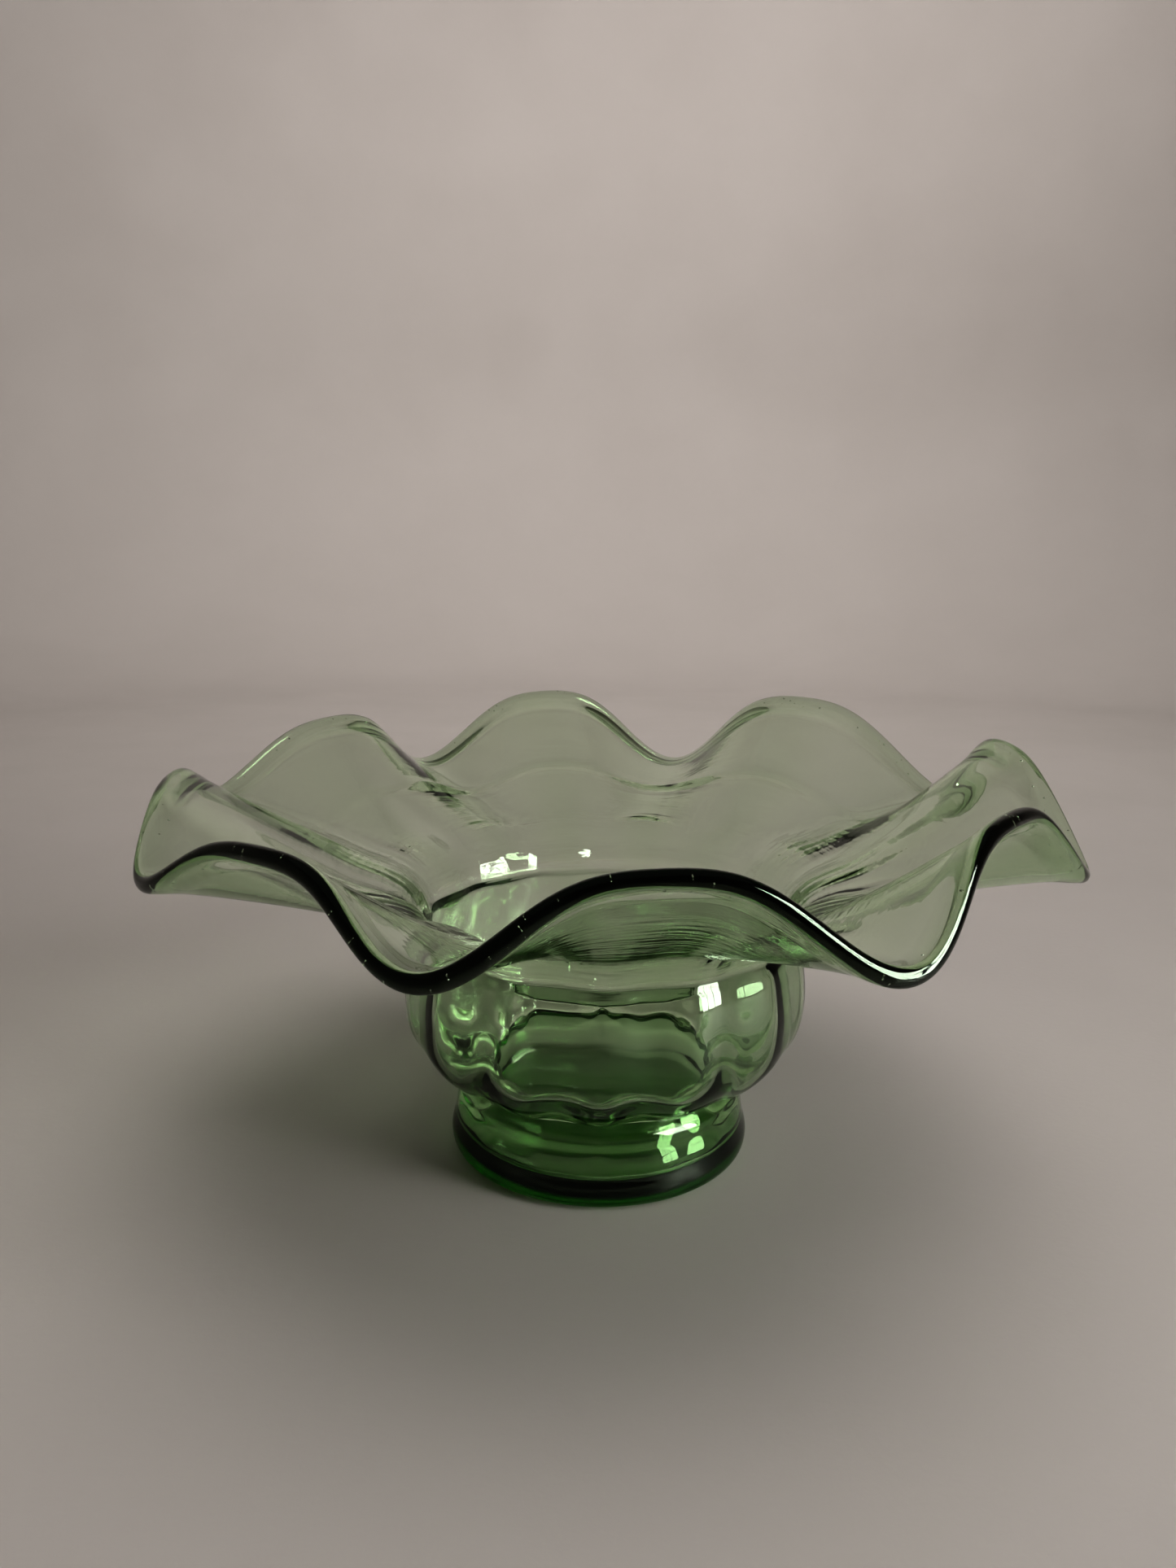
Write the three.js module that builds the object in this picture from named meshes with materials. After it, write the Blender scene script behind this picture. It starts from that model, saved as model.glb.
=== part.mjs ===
// A wide green glass bowl on a low foot, blown in a ribbed mould and finished by hand.
// The squat bulb is drawn in to a neck, and the flared brim above it is crimped into eight waves.
// Millimetres, +Z up, -Y is the front. The origin is on the foot's axis, on the surface it stands on.
import * as THREE from 'three';

// ---- driving dimensions ----

const CRIMPS = 8;
const RIBS = 14;
const STEPS_ROUND = CRIMPS * RIBS; // a whole number of steps in each crimp and each rib
const STEPS_ALONG_WALL = 20;

const FOOT_HEIGHT = 22.0;
const FOOT_INNER_RADIUS = 34.4; // at its top, where the bowl is joined on
const FLOOR_THICKNESS = 5.6;
const JOINT_GAP = 0.3; // the two solids stand this far apart where the glass is joined

const BULB_THICKNESS = 3.4;
const BRIM_THICKNESS = 2.8;
const EDGE_THICKNESS = 4.2; // the fire-polished edge is a little thicker than the brim
const EDGE_BAND = 7.0; // width of brim over which the glass thickens to its edge
const EDGE_STEPS = 4; // facets round the half-round edge

const RIB_DEPTH_INSIDE = 0.5;
const RIB_DEPTH_OUTSIDE = 0.25;
const RIB_TURN = -1; // degrees from the front to the nearest rib
const RIB_SHARE_ON_BRIM = 0.3; // the ribs are stretched shallow where the brim flares

const AXIS_DRIFT = 1.2; // the bulb and brim sit this far off the foot's axis, towards +X
const DRIFT_RISE = 25; // height over which that happens, above the joint

// The middle of the glass wall as [radius, height], from the joint with the foot up to the edge.
const WALL_LINE = [
  [36.2, FOOT_HEIGHT + JOINT_GAP], // joint with the foot
  [38.2, 25.0],
  [46.5, 29.0], // underside of the bulb
  [53.0, 37.0],
  [54.6, 47.0], // widest part of the bulb
  [53.7, 57.0],
  [52.2, 65.5], // neck
  [56.3, 73.2],
  [62.5, 77.3],
  [70.5, 80.3], // the flare's flattest stretch
  [79.0, 84.4],
  [88.0, 88.8], // bend where the brim turns up
  [98.0, 93.8],
  [108.0, 98.8],
  [118.0, 103.6], // middle of the edge
];

// The crimps: a wave that starts on the flare and is deepest at the edge.
const CRIMP_HEIGHT = 11.4;
const CRIMP_START_RADIUS = 64;
const CRIMP_GROWTH = 1.3; // power by which the wave deepens outwards
const CREST_FLATNESS = 0.2; // broad crests, narrower troughs
const CRIMP_TURN = 6.6; // degrees from the front to the nearest crest

// What the hand left uneven. Each swing is an amount and a direction, in degrees round from the front.
// A list holds the swings that go once, twice and three times round.
const CRIMP_SWAY = [[4.0, 56], [0.9, 70], [1.1, -1]]; // degrees by which crimps are shifted round
const CRIMP_SWELL = [[0.33, 135], [0.12, -2]]; // share by which crimps are deeper
const BRIM_LEAN = [[1.4, 107]]; // brim raised on one side
const BRIM_REACH = [[1.9, 183], [1.3, -17]]; // brim wider on one side, and slightly oval

// The foot's outside as [radius, height], from the rim of its flat underside up to the joint.
const FOOT_OUTSIDE = [
  [39.0, 0],
  [42.2, 1.3],
  [42.9, 4.6], // round edge of the base disc
  [41.7, 9.5],
  [41.1, 15.0], // shallow cove
  [40.9, 19.2],
  [38.0, FOOT_HEIGHT],
];

// The foot's inside, from the joint down to its floor.
const FOOT_INSIDE = [
  [FOOT_INNER_RADIUS, FOOT_HEIGHT],
  [36.0, 17.0],
  [37.6, 12.0],
  [38.2, 8.6],
  [36.8, 6.1],
  [33.5, FLOOR_THICKNESS],
];

// ---- helpers ----

const toRadians = THREE.MathUtils.degToRad;
const smoothstep = THREE.MathUtils.smoothstep;

function curveThrough(points) {
  return new THREE.SplineCurve(points.map(([x, y]) => new THREE.Vector2(x, y)));
}

// The sum, at one angle, of swings that go once, twice and more times round.
function swing(swings, angle) {
  return swings.reduce((sum, [amount, direction], i) => {
    const timesRound = i + 1;
    return sum + amount * Math.cos(timesRound * (angle - toRadians(direction)));
  }, 0);
}

// Angles are counted from the front, -Y, towards +X.
function placeRound(radius, height, angle) {
  return new THREE.Vector3(radius * Math.sin(angle), -radius * Math.cos(angle), height);
}

function glass(color) {
  return new THREE.MeshStandardMaterial({
    color,
    roughness: 0.04,
    metalness: 0,
    transparent: true,
    opacity: 0.5,
  });
}

// ---- foot: a low round wall that closes below in a thick base disc ----

function footGeometry() {
  const outside = curveThrough(FOOT_OUTSIDE).getPoints(12);
  const inside = curveThrough(FOOT_INSIDE).getPoints(10);
  const onAxis = (height) => new THREE.Vector2(0, height);
  const outline = [onAxis(0), ...outside, ...inside, onAxis(FLOOR_THICKNESS)];
  const geometry = new THREE.LatheGeometry(outline, STEPS_ROUND / 2);
  geometry.rotateX(Math.PI / 2);
  return geometry;
}

// ---- bowl: a crimped wall of glass with a half-round edge ----

const wallPoints = curveThrough(WALL_LINE).getSpacedPoints(STEPS_ALONG_WALL);
const edgePoint = wallPoints[STEPS_ALONG_WALL];

// How far the brim is lifted off the even wall line, along the wall's own normal.
function crimpLift(angle) {
  const turn = CRIMPS * (angle - toRadians(CRIMP_TURN - swing(CRIMP_SWAY, angle)));
  const wave = Math.cos(turn) - CREST_FLATNESS * Math.cos(2 * turn);
  return CRIMP_HEIGHT * (1 + swing(CRIMP_SWELL, angle)) * wave + swing(BRIM_LEAN, angle);
}

// Nothing below where the crimps start, and all of it at the edge.
function brimShare(point) {
  const outwards = (point.x - CRIMP_START_RADIUS) / (edgePoint.x - CRIMP_START_RADIUS);
  return Math.max(outwards, 0) ** CRIMP_GROWTH;
}

// The middle of the wall, at one step along it and one step round it.
function wallMiddle(along, round) {
  const angle = (2 * Math.PI * round) / STEPS_ROUND;
  const point = wallPoints[along];
  const ahead = wallPoints[Math.min(along + 1, STEPS_ALONG_WALL)];
  const behind = wallPoints[Math.max(along - 1, 0)];
  const slope = new THREE.Vector2().subVectors(ahead, behind).normalize();
  const share = brimShare(point);
  const lift = share * crimpLift(angle);
  const radius = point.x - slope.y * lift + share * swing(BRIM_REACH, angle);
  const place = placeRound(radius, point.y + slope.x * lift, angle);
  const jointHeight = FOOT_HEIGHT + JOINT_GAP;
  place.x += AXIS_DRIFT * smoothstep(point.y, jointHeight, jointHeight + DRIFT_RISE);
  return place;
}

// Which way the wall runs up and out there, and which way its outside faces.
function wallDirections(along, round) {
  const ahead = wallMiddle(Math.min(along + 1, STEPS_ALONG_WALL), round);
  const behind = wallMiddle(Math.max(along - 1, 0), round);
  const up = ahead.sub(behind).normalize();
  const sideways = wallMiddle(along, round + 1).sub(wallMiddle(along, round - 1));
  const out = new THREE.Vector3().crossVectors(sideways, up).normalize();
  return { up, out };
}

function wallThickness(point) {
  const flare = smoothstep(point.x, WALL_LINE[6][0], CRIMP_START_RADIUS);
  const plain = THREE.MathUtils.lerp(BULB_THICKNESS, BRIM_THICKNESS, flare);
  const edge = smoothstep(point.x, edgePoint.x - EDGE_BAND, edgePoint.x);
  return THREE.MathUtils.lerp(plain, EDGE_THICKNESS, edge);
}

// The closed outline of the wall's section at one step round: up the outside, over the edge, down the inside.
function wallSection(round) {
  const angle = (2 * Math.PI * round) / STEPS_ROUND;
  const outside = [];
  const inside = [];
  for (let along = 0; along <= STEPS_ALONG_WALL; along++) {
    const point = wallPoints[along];
    const { out } = wallDirections(along, round);
    if (along === 0) out.copy(placeRound(1, 0, angle)); // the joint with the foot is level
    const onBrim = smoothstep(point.x, CRIMP_START_RADIUS, edgePoint.x);
    const ribShare = THREE.MathUtils.lerp(1, RIB_SHARE_ON_BRIM, onBrim) * (along < STEPS_ALONG_WALL);
    const rib = ribShare * Math.cos(RIBS * (angle - toRadians(RIB_TURN)));
    const half = wallThickness(point) / 2;
    const middle = wallMiddle(along, round);
    outside.push(middle.clone().addScaledVector(out, half + RIB_DEPTH_OUTSIDE * rib));
    inside.unshift(middle.clone().addScaledVector(out, RIB_DEPTH_INSIDE * rib - half));
  }
  const { up, out } = wallDirections(STEPS_ALONG_WALL, round);
  const edge = [];
  for (let step = 1; step < EDGE_STEPS; step++) {
    const turn = (Math.PI * step) / EDGE_STEPS;
    const offset = out.clone().multiplyScalar(Math.cos(turn)).addScaledVector(up, Math.sin(turn));
    edge.push(wallMiddle(STEPS_ALONG_WALL, round).addScaledVector(offset, EDGE_THICKNESS / 2));
  }
  return [...outside, ...edge, ...inside];
}

function bowlGeometry() {
  const sections = Array.from({ length: STEPS_ROUND }, (_, round) => wallSection(round));
  const size = sections[0].length;
  const positions = sections.flat().flatMap((place) => place.toArray());
  const triangles = [];
  for (let round = 0; round < STEPS_ROUND; round++) {
    const here = round * size;
    const next = ((round + 1) % STEPS_ROUND) * size;
    for (let i = 0; i < size; i++) {
      const j = (i + 1) % size;
      triangles.push(here + i, next + i, next + j, here + i, next + j, here + j);
    }
  }
  const geometry = new THREE.BufferGeometry();
  geometry.setAttribute('position', new THREE.Float32BufferAttribute(positions, 3));
  geometry.setIndex(triangles);
  geometry.computeVertexNormals();
  return geometry;
}

// ---- the assembly ----

const foot = new THREE.Mesh(footGeometry(), glass(0x3f7a38));
foot.name = 'foot';

const bowl = new THREE.Mesh(bowlGeometry(), glass(0x6f9a62));
bowl.name = 'bowl';

const assembly = new THREE.Group();
assembly.add(foot, bowl);

export default assembly;
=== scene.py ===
"""A wide green glass bowl on a low foot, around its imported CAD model.

Metres, +Z up, -Y is the front. Angles round the bowl are counted from the front towards +X.
"""

import math

import bmesh
import bpy
import numpy as np
from mathutils import Matrix, Vector


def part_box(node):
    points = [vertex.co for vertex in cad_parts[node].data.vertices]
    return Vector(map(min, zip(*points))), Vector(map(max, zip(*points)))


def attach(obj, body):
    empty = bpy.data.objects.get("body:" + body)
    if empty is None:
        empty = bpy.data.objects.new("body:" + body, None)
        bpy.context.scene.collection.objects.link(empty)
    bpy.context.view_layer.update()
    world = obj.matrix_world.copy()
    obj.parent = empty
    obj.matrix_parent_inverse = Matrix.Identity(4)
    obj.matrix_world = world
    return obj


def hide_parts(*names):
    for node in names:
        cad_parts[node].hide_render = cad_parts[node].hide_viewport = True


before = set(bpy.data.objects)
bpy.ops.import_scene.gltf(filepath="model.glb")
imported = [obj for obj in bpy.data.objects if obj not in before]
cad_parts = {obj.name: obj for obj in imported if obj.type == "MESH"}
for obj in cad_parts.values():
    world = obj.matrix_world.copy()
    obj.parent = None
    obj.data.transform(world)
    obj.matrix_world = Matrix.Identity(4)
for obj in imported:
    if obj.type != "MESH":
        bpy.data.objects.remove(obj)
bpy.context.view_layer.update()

MM = 0.001

# ---- the bowl's and the foot's sizes, in millimetres ----

FOOT_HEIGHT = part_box("foot")[1][2] / MM
FUSE = 0.05  # height that the two pieces share, so that the glass reads as one where they join

# The middle of the bowl's wall as [radius, height], from the joint with the foot up to the edge.
WALL_LINE = [
    [36.2, FOOT_HEIGHT - FUSE],
    [38.2, 25.0],
    [46.5, 29.0],  # underside of the bulb
    [53.0, 37.0],
    [54.6, 47.0],  # widest part of the bulb
    [53.7, 57.0],
    [52.2, 65.5],  # neck
    [56.3, 73.2],
    [62.5, 77.3],
    [70.5, 80.3],  # the flare's flattest stretch
    [79.0, 84.4],
    [88.0, 88.8],  # bend where the brim turns up
    [98.0, 93.8],
    [108.0, 98.8],
    [118.0, 103.6],  # middle of the edge
]
NECK_RADIUS, NECK_HEIGHT = WALL_LINE[6]

# The crimps: a wave that starts on the flare and is deepest at the edge.
CRIMPS = 8
CRIMP_HEIGHT = 11.4
CRIMP_START_RADIUS = 64
CRIMP_GROWTH = 1.3  # power by which the wave deepens outwards
CREST_FLATNESS = 0.2  # broad crests, narrower troughs
CRIMP_TURN = 6.6  # degrees from the front to the nearest crest

# What the hand left uneven, as swings of [amount, direction] that go once, twice and three times round.
CRIMP_SWAY = [[4.0, 56], [0.9, 70], [1.1, -1]]  # degrees by which crimps are shifted round
CRIMP_SWELL = [[0.33, 135], [0.12, -2]]  # share by which crimps are deeper
BRIM_LEAN = [[1.4, 107]]
BRIM_REACH = [[1.9, 183], [1.3, -17]]

BULB_THICKNESS = 3.4
BRIM_THICKNESS = 2.8
EDGE_THICKNESS = 4.2
EDGE_BAND = 7.0  # width of brim over which the glass thickens to its edge

AXIS_DRIFT = 1.2  # the bulb and brim sit this far off the foot's axis, towards +X
DRIFT_RISE = 25  # height over which that happens, above the joint

# Ribs from the mould, stretched shallow on the brim and deeper at the throat.
RIBS = 14
RIB_TURN = -1  # degrees from the front to the nearest rib
RIB_DEPTH_INSIDE = 0.9
RIB_DEPTH_OUTSIDE = 0.45
RIB_SHARE_ON_BRIM = 0.3
RIB_SHARE_IN_FOOT = 0.15
LEDGE_RIPPLE = 0.5  # how much deeper they are at the throat
LEDGE_RISE = 9.0  # height over which that fades out, above the joint
FLOOR_FADE = 1.5  # height above the foot's floor over which they end

THROAT_FILL = 1.0  # extra glass inside the crease, which rounds the throat
THROAT_RISE = 14.0  # height over which it thins out, above the joint

# A low ridge round the inside of the brim where it bends, strongest at the back.
BEND_RADIUS = 87.5
BEND_HEIGHT = 0.8
BEND_WIDTH = 1.7
BEND_FADE = (-0.3, 0.9)  # cosines of the angle from the back at which it starts and is full

# The groove that the jacks left round the outside of the neck.
GROOVE_DEPTH = 1.8
GROOVE_WIDTH = 1.3

# Drawn lines that fan out from the neck across the flare.
FOLD_DEPTH = 0.12
FOLD_LEAN = [[0.8, 10]]  # share by which they are deeper near the front
FOLD_BUNCHING = 0.8  # share by which they are deeper in the troughs
FOLD_STRENGTHS = (0.4, 1)  # least and most share that one wave of the sum has
FOLD_SHARE_OUTSIDE = 0.6
FOLD_START_RADIUS = 53.0
FOLD_PEAK_RADIUS = 60.0
FOLD_END_RADIUS = 104.0
FOLD_COUNTS = range(37, 131, 6)  # how many times round each wave of the sum goes
FOLD_SEED = 7

# Bubbles trapped near the edge.
BUBBLE_COUNT = 150
BUBBLE_RADII = (0.15, 0.34)
BUBBLE_REACH = 0.55  # share of the edge's round section, by area, that they lie in
BUBBLE_SPREAD = 1.2  # how far in from the edge they lie on average
BUBBLE_SEED = 11

# The foot as [radius, height]: its outside, up to the joint, and its inside, down to its floor.
FOOT_OUTSIDE = [
    [39.0, 0.0],
    [42.2, 1.3],
    [42.9, 4.6],  # round edge of the base disc
    [41.7, 9.5],
    [41.1, 15.0],  # shallow cove
    [40.9, 19.2],
    [38.0, FOOT_HEIGHT],
]
FLOOR_THICKNESS = 5.6
FOOT_INSIDE = [
    [33.5, FOOT_HEIGHT],
    [35.4, 17.0],
    [37.4, 12.0],
    [38.2, 8.6],
    [36.8, 6.1],
    [33.5, FLOOR_THICKNESS],
]

# How finely the surfaces are cut.
CURVE_STEPS = 40  # between two points of a curve
STEPS_ROUND = 560
STEPS_ALONG_WALL = 76
EDGE_STEPS = 10
FOOT_STEPS_ROUND = 360
FOOT_OUTSIDE_STEPS = 60
FOOT_INSIDE_STEPS = 40
BASE_RINGS = [10.0, 20.0, 30.0]
FLOOR_RINGS = [28.0, 22.0, 16.0, 10.0, 5.0]

# ---- shapes in general ----


def smoothstep(value, low, high):
    share = np.clip((value - low) / (high - low), 0, 1)
    return share * share * (3 - 2 * share)


def unit(vectors):
    return vectors / np.linalg.norm(vectors, axis=-1, keepdims=True)


def ridge(value, centre, height, width):
    return height * np.exp(-(((value - centre) / width) ** 2))


def swing(swings, angle):
    """The sum of swings that go once, twice and more times round."""
    return sum(
        amount * np.cos(times_round * (angle - math.radians(direction)))
        for times_round, (amount, direction) in enumerate(swings, 1)
    )


def curve_through(points, count):
    """Evenly spaced points on a Catmull-Rom curve through the given ones."""
    points = np.array([points[0], *points, points[-1]], float)
    share = np.linspace(0, 1, CURVE_STEPS, endpoint=False)[:, None]
    stretches = []
    for before, start, end, after in zip(points, points[1:], points[2:], points[3:]):
        pull_start, pull_end = (end - before) / 2, (after - start) / 2
        stretches.append(
            (2 * start - 2 * end + pull_start + pull_end) * share**3
            + (3 * end - 3 * start - 2 * pull_start - pull_end) * share**2
            + pull_start * share
            + start
        )
    line = np.concatenate([*stretches, points[-1:]])
    steps = np.hypot(*np.diff(line, axis=0).T)
    length = np.concatenate([[0], np.cumsum(steps)])
    wanted = np.linspace(0, length[-1], count)
    return np.stack([np.interp(wanted, length, line[:, i]) for i in (0, 1)], 1)


def angles_round(steps):
    return np.linspace(0, 2 * math.pi, steps, endpoint=False)[None, :]


def place_round(radius, height, angle):
    flat = np.broadcast_to(height, np.broadcast_shapes(np.shape(radius), np.shape(angle)))
    return np.stack([radius * np.sin(angle), -radius * np.cos(angle), flat], -1)


def ring_faces(count, steps, closed=False):
    """Faces between each ring of places and the next, and from the last to the first if closed."""
    faces = []
    for i in range(count if closed else count - 1):
        here, after = i * steps, (i + 1) % count * steps
        for j in range(steps):
            k = (j + 1) % steps
            faces.append([here + j, here + k, after + k, after + j])
    return faces


def smooth_object(name, vertices, faces):
    mesh = bpy.data.meshes.new(name)
    mesh.from_pydata(vertices.tolist(), [], faces)
    mesh.polygons.foreach_set("use_smooth", [True] * len(mesh.polygons))
    mesh.update()
    made = bpy.data.objects.new(name, mesh)
    bpy.context.collection.objects.link(made)
    return made


# ---- bowl ----


def rib_wave(angle):
    return np.cos(RIBS * (angle - math.radians(RIB_TURN)))


def crimp_lift(angle):
    turn = CRIMPS * (angle - np.radians(CRIMP_TURN - swing(CRIMP_SWAY, angle)))
    wave = np.cos(turn) - CREST_FLATNESS * np.cos(2 * turn)
    return CRIMP_HEIGHT * (1 + swing(CRIMP_SWELL, angle)) * wave + swing(BRIM_LEAN, angle)


def wall_middle(line, angle):
    """The middle of the wall, as a grid of steps along it by steps round it."""
    slope = unit(np.gradient(line, axis=0))
    radius, height = line[:, :1], line[:, 1:]
    outwards = (radius - CRIMP_START_RADIUS) / (line[-1, 0] - CRIMP_START_RADIUS)
    share = np.maximum(outwards, 0) ** CRIMP_GROWTH
    lift = share * crimp_lift(angle)
    reach = share * swing(BRIM_REACH, angle)
    place = place_round(radius - slope[:, 1:] * lift + reach, height + slope[:, :1] * lift, angle)
    place[..., 0] += AXIS_DRIFT * smoothstep(height, FOOT_HEIGHT, FOOT_HEIGHT + DRIFT_RISE)
    return place


def wall_thickness(line):
    radius = line[:, :1]
    flare = smoothstep(radius, NECK_RADIUS, CRIMP_START_RADIUS)
    plain = BULB_THICKNESS + (BRIM_THICKNESS - BULB_THICKNESS) * flare
    edge = smoothstep(radius, line[-1, 0] - EDGE_BAND, line[-1, 0])
    return plain + (EDGE_THICKNESS - plain) * edge


def drawn_lines(line, angle):
    """Shallow lines along the wall, strongest just above the neck and gone before the edge."""
    draw = np.random.default_rng(FOLD_SEED)
    total = 0
    for count in FOLD_COUNTS:
        start = draw.uniform(0, 2 * math.pi)
        total = total + np.cos(count * angle + start) * draw.uniform(*FOLD_STRENGTHS)
    bunching = 1 - FOLD_BUNCHING * np.cos(CRIMPS * (angle - math.radians(CRIMP_TURN)))
    depth = FOLD_DEPTH * (1 + swing(FOLD_LEAN, angle)) * bunching / math.sqrt(len(FOLD_COUNTS))
    radius, height = line[:, :1], line[:, 1:]
    rise = smoothstep(radius, FOLD_START_RADIUS, FOLD_PEAK_RADIUS)
    fall = 1 - smoothstep(radius, FOLD_PEAK_RADIUS, FOLD_END_RADIUS)
    return depth * total * rise * fall * (height > NECK_HEIGHT)


def surface_marks(line, angle):
    """How far outwards the outer and the inner surface stand from those of an even wall."""
    radius, height = line[:, :1], line[:, 1:]
    edge_radius = line[-1, 0]
    on_brim = smoothstep(radius, CRIMP_START_RADIUS, edge_radius)
    fade = 1 - smoothstep(radius, edge_radius - EDGE_BAND, edge_radius)
    ribs = (1 + (RIB_SHARE_ON_BRIM - 1) * on_brim) * fade * rib_wave(angle)
    ledge = LEDGE_RIPPLE * (1 - smoothstep(height, FOOT_HEIGHT, FOOT_HEIGHT + LEDGE_RISE))
    throat = THROAT_FILL * (1 - smoothstep(height, FOOT_HEIGHT, FOOT_HEIGHT + THROAT_RISE))
    bend = ridge(radius, BEND_RADIUS, BEND_HEIGHT, BEND_WIDTH)
    bend = bend * smoothstep(-np.cos(angle), *BEND_FADE)
    groove = ridge(height, NECK_HEIGHT, GROOVE_DEPTH, GROOVE_WIDTH)
    folds = drawn_lines(line, angle)
    outer = RIB_DEPTH_OUTSIDE * ribs - groove + FOLD_SHARE_OUTSIDE * folds
    inner = (RIB_DEPTH_INSIDE + ledge) * ribs - bend - folds - throat
    return outer, inner


def bubbles(edge, out, up):
    """Places and faces of little closed hollows in the glass, near the middle of the edge."""
    draw = np.random.default_rng(BUBBLE_SEED)
    ball = bmesh.new()
    bmesh.ops.create_icosphere(ball, subdivisions=1, radius=1.0)
    unit_ball = np.array([v.co for v in ball.verts])
    turned_in = [[v.index for v in reversed(f.verts)] for f in ball.faces]
    ball.free()
    places, faces = [], []
    for _ in range(BUBBLE_COUNT):
        at = draw.integers(STEPS_ROUND)
        depth = EDGE_THICKNESS / 2 * math.sqrt(draw.uniform(0, BUBBLE_REACH))
        turn = draw.uniform(0, 2 * math.pi)
        inwards = draw.exponential(BUBBLE_SPREAD)
        across = depth * math.cos(turn) * math.exp(-inwards / EDGE_BAND)
        along = depth * math.sin(turn) - inwards
        centre = edge[at] + out[at] * across + up[at] * along
        first = len(places) * len(unit_ball)
        faces += [[first + i for i in face] for face in turned_in]
        places.append(centre + unit_ball * draw.uniform(*BUBBLE_RADII))
    return np.concatenate(places), faces


def bowl_mesh():
    """The wall's outside, round edge and inside as one closed surface, with the bubbles in it."""
    angle = angles_round(STEPS_ROUND)
    line = curve_through(WALL_LINE, STEPS_ALONG_WALL + 1)
    middle = wall_middle(line, angle)
    up = unit(np.gradient(middle, axis=0))
    sideways = np.roll(middle, -1, axis=1) - np.roll(middle, 1, axis=1)
    out = unit(np.cross(sideways, up))
    out[0] = place_round(1.0, 0.0, angle[0])  # the joint with the foot is level
    half = wall_thickness(line) / 2
    outer, inner = surface_marks(line, angle)
    outside = middle + out * (half + outer)[..., None]
    inside = middle + out * (inner - half)[..., None]
    turns = np.linspace(0, math.pi, EDGE_STEPS + 1)[1:-1, None, None]
    edge = middle[-1] + EDGE_THICKNESS / 2 * (out[-1] * np.cos(turns) + up[-1] * np.sin(turns))
    rings = np.concatenate([outside, edge, inside[::-1]])
    faces = ring_faces(*rings.shape[:2], closed=True)
    wall = rings.reshape(-1, 3)
    bubble_places, bubble_faces = bubbles(middle[-1], out[-1], up[-1])
    faces += [[len(wall) + i for i in face] for face in bubble_faces]
    return smooth_object("bowl_glass", np.concatenate([wall, bubble_places]) * MM, faces)


# ---- foot ----


def foot_rings(angle):
    """The foot's outline carried round, from its underside near the axis to its floor near the axis."""
    outside = curve_through(FOOT_OUTSIDE, FOOT_OUTSIDE_STEPS)
    inside = curve_through(FOOT_INSIDE, FOOT_INSIDE_STEPS)
    height = inside[:, 1:]
    near_joint = smoothstep(height, FOOT_HEIGHT - LEDGE_RISE / 2, FOOT_HEIGHT)
    share = RIB_SHARE_IN_FOOT + (1 - RIB_SHARE_IN_FOOT) * near_joint
    share = share * smoothstep(height, FLOOR_THICKNESS, FLOOR_THICKNESS + FLOOR_FADE)
    ribs = (RIB_DEPTH_INSIDE + LEDGE_RIPPLE) * share * rib_wave(angle)
    return np.concatenate([
        place_round(np.array(BASE_RINGS)[:, None], 0.0, angle),
        place_round(outside[:, :1], outside[:, 1:], angle),
        place_round(inside[:, :1] + ribs, height, angle),
        place_round(np.array(FLOOR_RINGS)[:, None], FLOOR_THICKNESS, angle),
    ])


def foot_mesh():
    """A round solid, closed at the middle of its underside and the middle of its floor."""
    rings = foot_rings(angles_round(FOOT_STEPS_ROUND))
    count, steps = rings.shape[:2]
    faces = ring_faces(count, steps)
    last = (count - 1) * steps
    underside_middle = count * steps
    floor_middle = underside_middle + 1
    for j in range(steps):
        k = (j + 1) % steps
        faces.append([underside_middle, k, j])
        faces.append([floor_middle, last + j, last + k])
    middles = [[0, 0, 0], [0, 0, FLOOR_THICKNESS]]
    return smooth_object("foot_glass", np.concatenate([rings.reshape(-1, 3), middles]) * MM, faces)


# ---- materials ----

NOISE_RANGE = (0.3, 0.7)  # a noise value is mostly between these

# Scale and detail of each noise.
CORDS = (18.0, 2.0)  # cords of deeper colour in the glass
MARKS = (60.0, 4.0)  # handling marks
WAVES = (45.0, 1.0)  # waviness of the fire-polished surface
MOTTLE = (6.0, 5.0)  # patches in the floor's paint
GRAIN = (400.0, 3.0)  # the floor's unevenness

GLASS_IOR = 1.5
REFLECTION_TINT = (0.8, 1.0, 0.76)  # keeps the darkest edges green instead of grey
STRETCH = (1.0, 1.0, 0.35)  # cords and waves are longer upwards
MARK_ROUGHNESS = 0.02
FLOOR_ROUGHNESS = (0.55, 0.65)
WAVE_DEPTH = 0.12  # this and the other depths are in millimetres
GRAIN_DEPTH = 0.1
GRAIN_STRENGTH = 0.5

# Fine lines that a tool left round the flare, with heights and radii in millimetres.
LINE_TURNS = 3.0
LINES_PER_METRE = 480.0
LINE_DETAIL = 1.5
LINE_DEPTH = 0.14
LINE_START_HEIGHTS = (NECK_HEIGHT - 3, NECK_HEIGHT + 1)
LINE_END_RADII = (66, FOLD_END_RADIUS)
LINE_END_SHARE = 0.1  # what is left of their depth beyond those radii


def new_material(name):
    material = bpy.data.materials.new(name)
    material.use_nodes = True
    nodes, links = material.node_tree.nodes, material.node_tree.links
    return material, nodes, links, nodes["Principled BSDF"]


def noise(nodes, links, place, scale, detail):
    texture = nodes.new("ShaderNodeTexNoise")
    texture.inputs["Scale"].default_value = scale
    texture.inputs["Detail"].default_value = detail
    links.new(place, texture.inputs["Vector"])
    return texture.outputs["Fac"]


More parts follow.
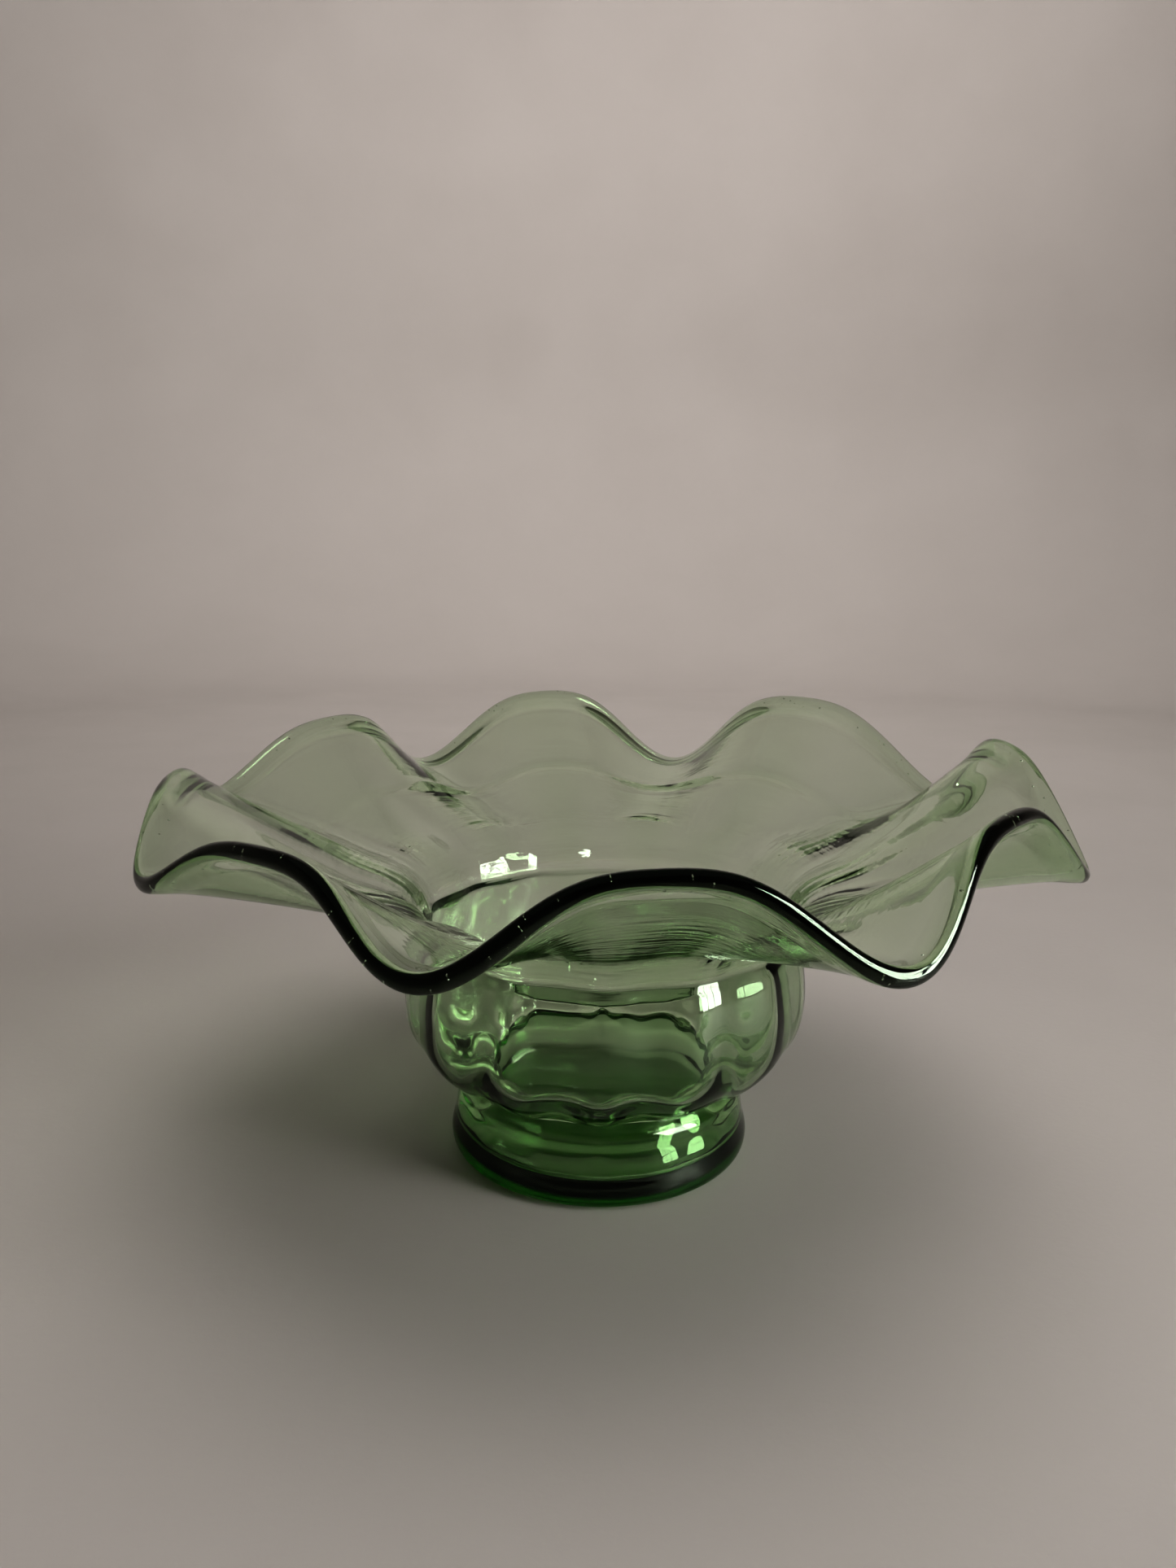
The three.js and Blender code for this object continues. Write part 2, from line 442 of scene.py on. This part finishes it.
def spread(nodes, links, value, source, result=(0.0, 1.0)):
    """A value carried over from the source range to the result range, and held inside it."""
    node = nodes.new("ShaderNodeMapRange")
    node.inputs["From Min"].default_value = source[0]
    node.inputs["From Max"].default_value = source[1]
    node.inputs["To Min"].default_value = result[0]
    node.inputs["To Max"].default_value = result[1]
    links.new(value, node.inputs["Value"])
    return node.outputs["Result"]


def product(nodes, links, value, factor):
    """A value times another one, which is a number or a second output."""
    node = nodes.new("ShaderNodeMath")
    node.operation = "MULTIPLY"
    links.new(value, node.inputs[0])
    if isinstance(factor, float):
        node.inputs[1].default_value = factor
    else:
        links.new(factor, node.inputs[1])
    return node.outputs[0]


def vector_node(nodes, links, operation, vector):
    node = nodes.new("ShaderNodeVectorMath")
    node.operation = operation
    links.new(vector, node.inputs[0])
    return node


def two_colours(nodes, links, value, first, second):
    """A colour that goes from the first to the second with a noise value."""
    colour = nodes.new("ShaderNodeMix")
    colour.data_type = "RGBA"
    colour.inputs["A"].default_value = (*first, 1)
    colour.inputs["B"].default_value = (*second, 1)
    links.new(spread(nodes, links, value, NOISE_RANGE), colour.inputs["Factor"])
    return colour.outputs["Result"]


def bumpy(nodes, links, height, depth, strength=1.0):
    bump = nodes.new("ShaderNodeBump")
    bump.inputs["Strength"].default_value = strength
    bump.inputs["Distance"].default_value = depth * MM
    links.new(height, bump.inputs["Height"])
    return bump


def tool_lines(nodes, links, place):
    """Fine lines round the flare, as a height: long round the bowl, close together along the wall."""
    flat = vector_node(nodes, links, "MULTIPLY", place)
    flat.inputs[1].default_value = (1, 1, 0)
    radius = vector_node(nodes, links, "LENGTH", flat.outputs["Vector"]).outputs["Value"]
    direction = vector_node(nodes, links, "NORMALIZE", flat.outputs["Vector"]).outputs["Vector"]
    turned = nodes.new("ShaderNodeSeparateXYZ")
    links.new(direction, turned.inputs[0])
    split = nodes.new("ShaderNodeSeparateXYZ")
    links.new(place, split.inputs[0])
    height = split.outputs["Z"]

    across = nodes.new("ShaderNodeCombineXYZ")
    links.new(product(nodes, links, turned.outputs["X"], LINE_TURNS), across.inputs["X"])
    links.new(product(nodes, links, turned.outputs["Y"], LINE_TURNS), across.inputs["Y"])
    links.new(product(nodes, links, radius, LINES_PER_METRE), across.inputs["Z"])
    lines = nodes.new("ShaderNodeTexNoise")
    lines.noise_dimensions = "4D"
    lines.inputs["Scale"].default_value = 1.0
    lines.inputs["Detail"].default_value = LINE_DETAIL
    links.new(across.outputs["Vector"], lines.inputs["Vector"])
    links.new(product(nodes, links, height, LINES_PER_METRE), lines.inputs["W"])

    above_neck = spread(nodes, links, height, [h * MM for h in LINE_START_HEIGHTS])
    near_neck = spread(nodes, links, radius, [r * MM for r in LINE_END_RADII], (1.0, LINE_END_SHARE))
    share = product(nodes, links, above_neck, near_neck)
    return product(nodes, links, lines.outputs["Fac"], share)


def glass_material(name, pale, deep, tint, density):
    """Clear glass with cords of deeper colour in it, faint handling marks and a slightly wavy surface."""
    material, nodes, links, shader = new_material(name)
    shader.inputs["Transmission Weight"].default_value = 1.0
    shader.inputs["IOR"].default_value = GLASS_IOR
    shader.inputs["Specular Tint"].default_value = (*REFLECTION_TINT, 1)

    place = nodes.new("ShaderNodeTexCoord").outputs["Object"]
    stretch = nodes.new("ShaderNodeMapping")
    stretch.inputs["Scale"].default_value = STRETCH
    links.new(place, stretch.inputs["Vector"])
    stretched = stretch.outputs["Vector"]
    cords = noise(nodes, links, stretched, *CORDS)
    links.new(two_colours(nodes, links, cords, pale, deep), shader.inputs["Base Color"])
    marks = noise(nodes, links, place, *MARKS)
    roughness = spread(nodes, links, marks, NOISE_RANGE, (0.0, MARK_ROUGHNESS))
    links.new(roughness, shader.inputs["Roughness"])

    waves = bumpy(nodes, links, noise(nodes, links, stretched, *WAVES), WAVE_DEPTH)
    lines = bumpy(nodes, links, tool_lines(nodes, links, place), LINE_DEPTH)
    links.new(waves.outputs["Normal"], lines.inputs["Normal"])
    links.new(lines.outputs["Normal"], shader.inputs["Normal"])

    absorb = nodes.new("ShaderNodeVolumeAbsorption")
    absorb.inputs["Color"].default_value = (*tint, 1)
    absorb.inputs["Density"].default_value = density
    links.new(absorb.outputs[0], nodes["Material Output"].inputs["Volume"])
    return material


def floor_material(name, color, worn_color):
    """A pale painted board, very slightly mottled and uneven."""
    material, nodes, links, shader = new_material(name)
    place = nodes.new("ShaderNodeTexCoord").outputs["Object"]
    mottle = noise(nodes, links, place, *MOTTLE)
    links.new(two_colours(nodes, links, mottle, color, worn_color), shader.inputs["Base Color"])
    roughness = spread(nodes, links, mottle, NOISE_RANGE, FLOOR_ROUGHNESS)
    links.new(roughness, shader.inputs["Roughness"])
    grain = noise(nodes, links, place, *GRAIN)
    bump = bumpy(nodes, links, grain, GRAIN_DEPTH, GRAIN_STRENGTH)
    links.new(bump.outputs["Normal"], shader.inputs["Normal"])
    return material


# ---- the pieces ----

green = glass_material(
    "green_glass",
    pale=(0.93, 0.96, 0.91),
    deep=(0.87, 0.92, 0.83),
    tint=(0.35, 0.63, 0.22),
    density=74.0,
)
# The foot's glass is a darker, denser copy of the bowl's: partly a deeper tint, partly painted shade for
# the dim light round the foot.
deeper_and_shaded_green = glass_material(
    "deeper_and_shaded_foot_glass",
    pale=(0.86, 0.93, 0.82),
    deep=(0.80, 0.91, 0.75),
    tint=(0.30, 0.70, 0.14),
    density=84.0,
)

bowl = bowl_mesh()
foot = foot_mesh()
for piece, node, slot, glass in (
    (bowl, "bowl", "bowl_glass", green),
    (foot, "foot", "foot_glass", deeper_and_shaded_green),
):
    piece.data.materials.append(glass)
    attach(piece, "root")
    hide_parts(node)

# ---- the studio, in metres ----

FLOOR_RINGS_FROM_MIDDLE = [0.3, 0.7]
FLOOR_RADIUS = 1.1
CORNER_RADIUS = 0.5  # where the floor turns up into the wall
CORNER_STEPS = 16
SHELL_STEPS_ROUND = 96
WALL_TOP = 2.2
FLOOR_GAP = 0.0002  # the floor lies this far under the foot
FLOOR_COLOR = (0.405, 0.38, 0.36)
WORN_FLOOR_COLOR = (0.39, 0.365, 0.345)

# The window stands to the front right. Its panes show only in the glass.
WINDOW_AZIMUTH, WINDOW_ELEVATION = 62, 23  # degrees
WINDOW_DISTANCE = 1.0
WINDOW_COLOR = (1.0, 0.99, 0.97)
PANE_COLUMNS = (-1, 0, 1)
PANE_ROWS = (-2, -1, 0, 1, 2)
PANE = 0.145
PANE_GAP = 0.015
PANE_POWER = 0.9


def studio_shell():
    """A round floor that turns up into a wall all round, far enough out to stand a camera inside."""
    turn = np.linspace(0, math.pi / 2, CORNER_STEPS)
    corner_radius = FLOOR_RADIUS + CORNER_RADIUS * np.sin(turn)
    corner_height = CORNER_RADIUS - CORNER_RADIUS * np.cos(turn)
    radius = np.concatenate([FLOOR_RINGS_FROM_MIDDLE, corner_radius, corner_radius[-1:]])
    height = np.concatenate([[0, 0], corner_height, [WALL_TOP]])
    rings = place_round(radius[:, None], height[:, None], angles_round(SHELL_STEPS_ROUND))
    count, steps = rings.shape[:2]
    middle = count * steps
    faces = [[middle, j, (j + 1) % steps] for j in range(steps)]
    faces += [face[::-1] for face in ring_faces(count, steps)]
    vertices = np.concatenate([rings.reshape(-1, 3), [[0, 0, 0]]]) - [0, 0, FLOOR_GAP]
    return smooth_object("studio_floor", vertices, faces)


def area_light(name, place, target, size, power, color, spread_angle=180):
    data = bpy.data.lights.new(name, "AREA")
    data.shape = "RECTANGLE"
    data.size, data.size_y = size
    data.energy = power
    data.color = color
    data.spread = math.radians(spread_angle)
    lamp = bpy.data.objects.new(name, data)
    bpy.context.collection.objects.link(lamp)
    lamp.location = place
    lamp.rotation_euler = (Vector(target) - Vector(place)).to_track_quat("-Z", "Y").to_euler()
    return lamp


def window_panes(middle, toward):
    across = toward.cross(Vector((0, 0, 1))).normalized()
    upward = across.cross(toward)
    for column in PANE_COLUMNS:
        for row in PANE_ROWS:
            place = middle + (across * column + upward * row) * (PANE + PANE_GAP)
            name = f"pane_{column}_{row}"
            pane = area_light(name, place, place - toward, (PANE, PANE), PANE_POWER, WINDOW_COLOR)
            pane.visible_diffuse = False


shell = studio_shell()
shell.data.materials.append(floor_material("pale_floor", FLOOR_COLOR, WORN_FLOOR_COLOR))

azimuth, elevation = math.radians(WINDOW_AZIMUTH), math.radians(WINDOW_ELEVATION)
toward_window = Vector((
    math.sin(azimuth) * math.cos(elevation),
    -math.cos(azimuth) * math.cos(elevation),
    math.sin(elevation),
))
window_middle = toward_window * WINDOW_DISTANCE
window_panes(window_middle, toward_window)

# These three light the floor and the shadow, and don't show in the glass.
key = area_light(
    "key",
    place=window_middle,
    target=(0, 0, 0),
    size=(0.3, 0.75),
    power=7.5,
    color=WINDOW_COLOR,
)
overhead = area_light(
    "overhead",
    place=(0.15, -0.05, 1.5),
    target=(0, 0.1, 0),
    size=(1.2, 1.2),
    power=2.6,
    color=(1.0, 0.97, 0.95),
    spread_angle=100,
)
backdrop = area_light(
    "backdrop",
    place=(0.2, 0.4, 1.5),
    target=(0, 1.6, 0.5),
    size=(1.2, 0.6),
    power=5,
    color=(1.0, 0.96, 0.95),
    spread_angle=110,
)
for lamp in (key, overhead, backdrop):
    lamp.visible_glossy = False
    lamp.visible_transmission = False

WORLD_COLOR = (1.0, 0.96, 0.93)
WORLD_STRENGTH = 0.08

scene = bpy.context.scene
world = bpy.data.worlds.new("studio")
scene.world = world
world.use_nodes = True
background = world.node_tree.nodes["Background"]
background.inputs["Color"].default_value = (*WORLD_COLOR, 1)
background.inputs["Strength"].default_value = WORLD_STRENGTH

# ---- camera, as fitted to the photo ----

CAMERA_PLACE = (-5.15 * MM, -296 * MM, 165.5 * MM)
LENS = 25.03
YAW, PITCH, ROLL = math.radians(0.2), math.radians(11.7), math.radians(0.57)

# Light crosses many surfaces of glass on its way.
GLASS_BOUNCES = 24
EXPOSURE = 0.52

camera = bpy.data.objects.new("camera", bpy.data.cameras.new("camera"))
bpy.context.collection.objects.link(camera)
camera.data.lens = LENS
camera.data.clip_start = 0.01
camera.matrix_world = (
    Matrix.Translation(CAMERA_PLACE)
    @ Matrix.Rotation(-YAW, 4, "Z")
    @ Matrix.Rotation(math.pi / 2 - PITCH, 4, "X")
    @ Matrix.Rotation(ROLL, 4, "Z")
)
scene.camera = camera
scene.cycles.max_bounces = GLASS_BOUNCES
scene.cycles.transmission_bounces = GLASS_BOUNCES
scene.view_settings.view_transform = "Standard"
scene.view_settings.look = "High Contrast"
scene.view_settings.exposure = EXPOSURE
